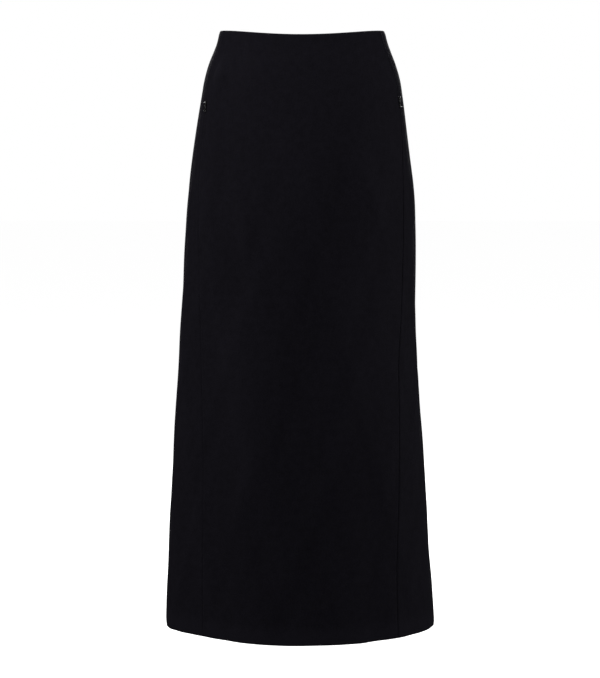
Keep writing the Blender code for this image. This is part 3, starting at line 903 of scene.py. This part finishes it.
def cloth_mesh(walls):
    """Points, faces and flat places of walls, each given as its face and its back."""
    points, faces = joined([shell(face, back) for face, back in walls])
    uv = np.concatenate([np.tile(flat_coordinates(face), (2, 1)) for face, _ in walls])
    return points, faces, uv


def crepe_piece(name, material):
    """A whole panel: its sheet, and its own two allowances behind it."""
    panel = PANELS[name]
    sheet, painted_light_from_relief = panel_sheet(panel)
    walls = [sheet, allowance_strip(panel.first_seam, 1), allowance_strip(panel.last_seam, -1)]
    points, faces, uv = cloth_mesh(walls)
    # The relief's painted highlight and shade, stored on the points for the crepe's colour.
    painted_relief_shade = np.zeros(len(points))
    painted_relief_shade[:painted_light_from_relief.size] = painted_light_from_relief.ravel()
    # Painted highlight: the colour is lighter towards the hem's foot, standing in for light from
    # below.
    painted_relief_shade += PAINTED_HEM_LIGHT * np.clip(1 - (LENGTH + points[:, 2]) / PAINTED_HEM_LIGHT_REACH, 0, 1)
    piece = mesh_object(f"crepe_{name}", points, faces, material, uv, painted_relief_shade)
    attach(piece, "skirt")
    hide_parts(name)


# ---- Sewing -----------------------------------------------------------------------------

def windings(length, pitch, steps=8):
    """Angles of a thread that winds along an edge of a given length."""
    count = round(length / pitch)
    return np.linspace(0, 2 * np.pi * count, count * steps + 1)


def ring_windings(edge, pitch, steps=8):
    """Angles of a thread that winds once round the skirt at a depth, and the turn at each."""
    girth = np.pi * (section("left", edge) + section("front", edge))
    angle = windings(float(girth), pitch, steps)
    return angle, np.linspace(0, 360 * (1 - 1 / len(angle)), len(angle))


def sewn(name, threads, material):
    """Object of one or more threads, which goes with the skirt."""
    piece = mesh_object(name, *joined(threads), material)
    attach(piece, "skirt")


def seam_overlock(seam, material):
    """Overlocked edges of a seam's two allowances: a helix of thread round each edge."""
    top, low = WAIST_TURN_IN * 0.5, LENGTH - HEM_TURN_UP * 0.5
    angle = windings(low - top, OVERLOCK_PITCH)
    below = np.linspace(top, low, len(angle))
    half_depth = ALLOWANCE_THICKNESS / 2 + OVERLOCK_STANDS
    depth = ALLOWANCE_FRONT + ALLOWANCE_THICKNESS / 2 + half_depth * np.sin(angle)
    from_edge = ALLOWANCE - OVERLOCK_HALF_WIDTH * (1 - np.cos(angle)) + OVERLOCK_STANDS
    threads = []
    for side in (-1, 1):
        edge = seam_edge(seam, below, side)
        turn = edge + side * degrees_for(from_edge, below, edge)
        path = cloth(below, turn, depth - lift(seam, below, from_edge))
        threads.append(thread(path, (0, 0, 1), OVERLOCK_THREAD))
    sewn(f"overlock_{seam}", threads, material)


def hem_overlock(name, edge, away, material):
    """Overlocked inner edge of the turned waist or hem: one helix of thread all round.

    away is 1 where the layer ends downwards, as at the waist, and -1 where it ends upwards.
    """
    angle, turn = ring_windings(edge, OVERLOCK_PITCH)
    below = edge + away * (OVERLOCK_STANDS - OVERLOCK_HALF_WIDTH * (1 - np.cos(angle)))
    middle = 2 * TURN_RADIUS - SHEET / 2 + TURNED_OVER_SEAM * over_any_allowance(below, turn)
    path = cloth(below, turn, middle + (SHEET / 2 + OVERLOCK_STANDS) * np.sin(angle))
    round_ring = np.cross(outward(below, turn), (0, 0, 1))
    sewn(name, [thread(path, round_ring, OVERLOCK_THREAD)], material)


def hem_stitches(material):
    """Blind stitches of the hem: a zigzag from the sheet over the turned-up edge and back."""
    edge = LENGTH - HEM_TURN_UP
    angle, turn = ring_windings(edge, CATCH_STITCH, steps=10)
    sway = np.cos(angle)
    below = edge - CATCH_ABOVE_EDGE + CATCH_SWAY * sway
    on_layer = smooth_step((sway + 0.35) / 0.5)
    layer = 2 * TURN_RADIUS + TURNED_OVER_SEAM * over_any_allowance(below, turn)
    path = cloth(below, turn, SHEET + (layer - SHEET) * on_layer + THREAD * 1.5)
    sewn("hem_blind_stitches", [thread(path, (0, 0, 1), THREAD)], material)


# ---- Zips -------------------------------------------------------------------------------

def zip_tapes(side, material):
    """The two woven tapes of a closed zip, flat behind the allowances and parted at the slider."""
    closing = ZIPS[side]
    top, low = closing.slider_below - TAPE_ABOVE_SLIDER, closing.slider_below + closing.length
    below = np.linspace(top, low, round((low - top) / STRIP_ROW * 3))[:, None]
    beside = smooth_step((closing.slider_below + COIL_STARTS + 0.001 - below) / TAPES_PART_OVER)
    closed = COIL_HALF_WIDTH / 4
    inner = closed + (TAPE_BESIDE_SLIDER - closed) * beside
    share, thinner = np.array(TAPE_PROFILE).T[:, None, :]
    middle = seam_turn(closing.seam, below)
    aside = degrees_for(inner + (TAPE_HALF_WIDTH - inner) * share, below, middle)
    walls = [
        strip(below, middle + way * aside, tape_depth(below), TAPE_THICKNESS, thinner / 1000, way)
        for way in (-1, 1)
    ]
    points, faces, uv = cloth_mesh(walls)
    piece = mesh_object(f"woven_tapes_{side}", points, faces, material, uv)
    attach(piece, "skirt")
    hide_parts(f"zip_tape_{side}")


def zip_coil(side, material):
    """Nylon coils of a closed zip: two flat helices that mesh, on the tapes' inner face."""
    closing = ZIPS[side]
    top, low = closing.slider_below + COIL_STARTS, closing.slider_below + closing.length - 0.002
    angle = windings(low - top, COIL_PITCH)
    coils = []
    for way in (-1, 1):
        below = np.linspace(top, low, len(angle)) + (COIL_PITCH / 2 if way > 0 else 0)
        aside = way * COIL_HALF_WIDTH * (COIL_ASIDE + np.cos(angle))
        middle = seam_turn(closing.seam, below)
        depth = tape_depth(below) + TAPE_THICKNESS + COIL_HALF_DEPTH * (1 + np.sin(angle))
        path = cloth(below, middle + degrees_for(aside, below, middle), depth)
        coils.append(thread(path, (0, 0, 1), COIL_WIRE, sides=5))
    sewn(f"nylon_coil_{side}", coils, material)


def zip_stitches(side, material):
    """Rows of stitches that hold the tapes: thread that dips through the tape in a sine."""
    closing = ZIPS[side]
    top, low = closing.slider_below - TAPE_ABOVE_SLIDER / 2, closing.slider_below + closing.length
    angle = windings(low - top, STITCH)
    below = np.linspace(top, low, len(angle))
    depth = tape_depth(below) + TAPE_THICKNESS + STITCH_DEPTH * (np.sin(angle) + 0.35)
    middle = seam_turn(closing.seam, below)
    rows = []
    for way in (-1, 1):
        turn = middle + way * degrees_for(STITCH_FROM_COIL, below, middle)
        rows.append(thread(cloth(below, turn, depth), outward(below, turn), THREAD))
    sewn(f"zip_stitches_{side}", rows, material)


def slider_frame(side):
    """Frame on the cloth at a slider: x across the seam, y up along it, z outwards."""
    closing = ZIPS[side]

    def seam_point(down=0.0, aside=0.0):
        below = np.array(closing.slider_below + down)
        turn = seam_turn(closing.seam, below) + aside
        return cloth(below, turn, stands=lambda *at: fold_height(*at, LARGE_FOLDS))

    high, low = seam_point(down=-SLIDER_SEAT / 2), seam_point(down=SLIDER_SEAT / 2)
    across = seam_point(aside=1.0) - seam_point(aside=-1.0)
    up = Vector(high - low).normalized()
    out = Vector(across).cross(up).normalized()
    frame = Matrix((up.cross(out), up, out)).transposed().to_4x4()
    frame.translation = Vector((high + low) / 2)
    return frame


def moved(mesh_parts, matrix):
    """Points and faces with the points put in place by a matrix."""
    points, faces = mesh_parts
    table = np.array(matrix)
    return points @ table[:3, :3].T + table[:3, 3], faces


def axes(directions, sizes):
    """Half axes along one direction each, with a size for each point of a path."""
    return np.asarray(sizes)[:, None] * np.array(directions, float)[None, :]


def slider_parts(wall):
    """Body, neck and crown of a slider, in the slider's frame.

    The body is a superellipsoid that narrows downwards, the neck a rounded bar through the
    seam, and the crown half a superellipse that arches along the seam.
    """
    along = np.sin(np.linspace(-np.pi / 2, np.pi / 2, 22)[1:-1])
    swell = (1 - np.abs(along) ** 3.2) ** (1 / 2.4)
    middle = -wall - BODY_CLEARANCE - BODY_HALF[2]
    body = tube(
        axes((0, 1, 0), BODY_HALF[1] * along) + np.array([0, 0, middle]),
        axes((1, 0, 0), BODY_HALF[0] * swell * (1 - BODY_TAPER * (1 - along) / 2)),
        axes((0, 0, -1), BODY_HALF[2] * swell),
        sides=28, squareness=BODY_SQUARENESS,
    )
    height = np.linspace(middle, NECK_STANDS, 12)
    up_its_edge = np.clip((height - NECK_STANDS + NECK_EDGE) / NECK_EDGE, 0, 1)
    narrower = 1 - NECK_NARROWS * up_its_edge**2
    neck = tube(
        axes((0, 0, 1), height),
        axes((1, 0, 0), NECK_HALF[0] * narrower),
        axes((0, 1, 0), NECK_HALF[1] * narrower),
        sides=28, squareness=NECK_SQUARENESS,
    )
    cosine, sine = rounded(np.linspace(0, np.pi, 41), CROWN_ARCH_SQUARENESS)
    arch = axes((0, 1, 0), CROWN_REACH * cosine) + axes((0, 0, 1), CROWN_FOOT + CROWN_RISE * sine)
    ahead = unit(np.gradient(arch, axis=0))
    side_way = np.broadcast_to((1.0, 0.0, 0.0), arch.shape)
    crown = tube(
        arch, side_way * CROWN_HALF_WIDTH, np.cross(ahead, side_way) * CROWN_HALF_THICKNESS,
        sides=14, squareness=CROWN_BAR_SQUARENESS,
    )
    return [body, neck, crown]


def rounded_slot(top_centre, top_radius, low_centre, low_radius, arc, straight):
    """Outline of two round ends joined by their tangents, down from the hinge axis.

    Four stretches, each with the same number of points on any such outline: the upper arc,
    one side, the lower arc and the other side.
    """
    lean = math.asin((low_radius - top_radius) / (low_centre - top_centre))
    upper = np.linspace(lean, math.pi - lean, arc)
    lower = np.linspace(math.pi - lean, 2 * math.pi + lean, arc)
    top, low = (
        np.stack([radius * np.cos(angle), radius * np.sin(angle) - centre], axis=-1)
        for angle, radius, centre in (
            (upper, top_radius, top_centre), (lower, low_radius, low_centre),
        )
    )
    share = np.linspace(0, 1, straight + 2)[1:-1, None]
    down = top[-1] + (low[0] - top[-1]) * share
    up = low[-1] + (top[0] - low[-1]) * share
    return np.concatenate([top, down, low, up])


def pull_parts():
    """Pull tab with its slot: a ring whose section is a superellipse from slot to rim."""
    outer = rounded_slot(
        PULL_EYE_CENTRE, PULL_EYE_RADIUS, PULL_BULB_CENTRE, PULL_BULB_RADIUS, arc=22, straight=14
    )
    inner = rounded_slot(
        SLOT_TOP_CENTRE, SLOT_RADIUS, SLOT_LOW_CENTRE, SLOT_RADIUS + 1e-6, arc=22, straight=14
    )
    cosine, sine = rounded(np.linspace(0, 2 * np.pi, 28, endpoint=False), PULL_SQUARENESS)
    flat = (outer + inner)[:, None] / 2 + (outer - inner)[:, None] / 2 * cosine[None, :, None]
    height = np.broadcast_to(PULL_THICKNESS / 2 * sine, flat.shape[:2])
    points = np.concatenate([flat, height[..., None]], axis=2)
    number = np.arange(len(outer) * len(cosine)).reshape(len(outer), len(cosine))
    after, up = np.roll(number, -1, axis=0), np.roll(number, -1, axis=1)
    return points.reshape(-1, 3), [quads(number, up, np.roll(after, -1, axis=1), after)]


def zip_hardware(side, material):
    """Slider in its seam, and its pull tab on the hinge axis, hanging against the cloth."""
    seat = slider_frame(side)
    wall = float(tape_depth(ZIPS[side].slider_below)) - TAPE_FRONT
    slider = mesh_object(
        f"cast_slider_{side}", *moved(joined(slider_parts(wall)), seat), material, sharp=50
    )
    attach(slider, "skirt")
    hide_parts(f"zip_slider_{side}")
    hung = (
        seat @ Matrix.Translation((0, 0, PULL_AXIS_STANDS))
        @ Matrix.Rotation(math.radians(PULL_LEAN), 4, "X")
    )
    pull = mesh_object(f"teardrop_pull_{side}", *moved(pull_parts(), hung), material, sharp=60)
    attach(pull, f"pull_{side}")
    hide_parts(f"zip_pull_{side}")


# ---- Floor, light and camera ------------------------------------------------------------

PHOTO_SIZE = (600, 678)
CAMERA_BACK = 3.0
CAMERA_HEIGHT = -0.1043
CAMERA_PITCH = 7.08  # degrees down
FOCAL_PIXELS = 1928.7
SKIRT_CENTRE_PIXEL = 301.0
SENSOR = 36.0
FLOOR_BELOW_HEM = 0.11
FLOOR_REACH = 12.0

# Azimuth in degrees, then distance, height and size in metres, and power in watts.
LIGHTS = {
    "top_front": (-27, 1.20, 1.05, (0.6, 0.6), 23),
    "side_left": (-72, 1.60, -0.30, (0.5, 1.5), 12.5),
    "side_right": (74, 1.60, -0.22, (0.5, 1.7), 16),
    "floor_bounce": (0, 0.30, -1.03, (0.5, 0.1), 0.10),
    "front_fill": (8, 2.20, -0.35, (0.7, 1.4), 0.8),
    "rim_right": (104, 1.60, -0.50, (0.3, 1.2), 3.5),
    "back_left": (-162, 1.80, 0.40, (0.7, 1.4), 19),
    "back_right": (162, 1.80, 0.20, (0.7, 1.4), 19),
}
LIGHTS_AIM = -LENGTH * 0.4  # height that they all point at
AMBIENT = 0.20  # what the cloth gets of the white surroundings
MIRRORED = 0.03  # what gloss mirrors of the surroundings, as of black screens beside the skirt
FLOOR_GLOW = 0.84  # makes the floor look as white as the surroundings


def camera():
    """Camera of the photo: in front, a little below the waist, looking slightly down."""
    data = bpy.data.cameras.new("camera")
    data.sensor_width = SENSOR
    data.lens = FOCAL_PIXELS / max(PHOTO_SIZE) * SENSOR
    aside = (SKIRT_CENTRE_PIXEL - PHOTO_SIZE[0] / 2) * CAMERA_BACK / FOCAL_PIXELS
    thing = in_scene("camera", data)
    thing.location = (-aside, -CAMERA_BACK, CAMERA_HEIGHT)
    thing.rotation_euler = (math.radians(90 - CAMERA_PITCH), 0, 0)
    bpy.context.scene.camera = thing


def softbox(name, azimuth, distance, height, size, watts):
    """Soft rectangular light at an azimuth from the front, turned towards the skirt."""
    angle = math.radians(azimuth)
    place = Vector((distance * math.sin(angle), -distance * math.cos(angle), height))
    ahead = Vector((0, 0, LIGHTS_AIM)) - place
    data = bpy.data.lights.new(name, "AREA")
    data.shape = "RECTANGLE"
    data.size, data.size_y = size
    data.energy = watts
    thing = in_scene(name, data)
    thing.location = place
    thing.rotation_euler = ahead.to_track_quat("-Z", "Y").to_euler()
    thing.visible_camera = False


def studio():
    """Lit pale floor, white surroundings and soft light from the front, the top and both sides.

    The surroundings look white but give little light and less to mirror, and the floor's glow
    doesn't light the cloth, so that the near-black skirt keeps its depth against white.
    """
    material, tree, shader = new_material("matt_pale_floor")
    set_shader(
        shader, Base_Color=linear("#E6E6E6"), Roughness=0.9,
        Emission_Color=linear("#FFFFFF"), Emission_Strength=FLOOR_GLOW,
    )
    corners = np.array([(-1, -1, 0), (1, -1, 0), (1, 1, 0), (-1, 1, 0)]) * FLOOR_REACH
    corners[:, 2] = -LENGTH - FLOOR_BELOW_HEM
    floor = mesh_object("floor", corners, [np.array([[0, 1, 2, 3]])], material)
    floor.visible_diffuse = False
    floor.visible_glossy = False

    world = bpy.data.worlds.new("white_studio")
    world.use_nodes = True
    tree = world.node_tree
    ray = add(tree, "LightPath")
    mirrored = add(
        tree, "MapRange", {"Value": ray.outputs["Is Glossy Ray"]},
        in_To_Min=AMBIENT, in_To_Max=MIRRORED,
    )
    strength = add(
        tree, "MapRange",
        {"Value": ray.outputs["Is Camera Ray"], "To Min": mirrored.outputs["Result"]},
        in_To_Max=1.0,
    )
    tree.links.new(strength.outputs["Result"], tree.nodes["Background"].inputs["Strength"])
    tree.nodes["Background"].inputs["Color"].default_value = linear("#FFFFFF")
    bpy.context.scene.world = world
    for name, (azimuth, distance, height, size, watts) in LIGHTS.items():
        softbox(name, azimuth, distance, height, size, watts)
    bpy.context.scene.view_settings.view_transform = "Standard"


def main():
    """The stage, then every piece of the skirt."""
    camera()
    studio()
    crepe = crepe_material()
    for name in PANELS:
        crepe_piece(name, crepe)

    cotton = thread_material()
    for seam in SEAMS:
        seam_overlock(seam, cotton)
    hem_overlock("overlock_waist", WAIST_TURN_IN, 1, cotton)
    hem_overlock("overlock_hem", LENGTH - HEM_TURN_UP, -1, cotton)
    hem_stitches(cotton)

    tape, nylon, lacquer = tape_material(), coil_material(), lacquer_material()
    for side in ZIPS:
        zip_tapes(side, tape)
        zip_coil(side, nylon)
        zip_stitches(side, cotton)
        zip_hardware(side, lacquer)


main()
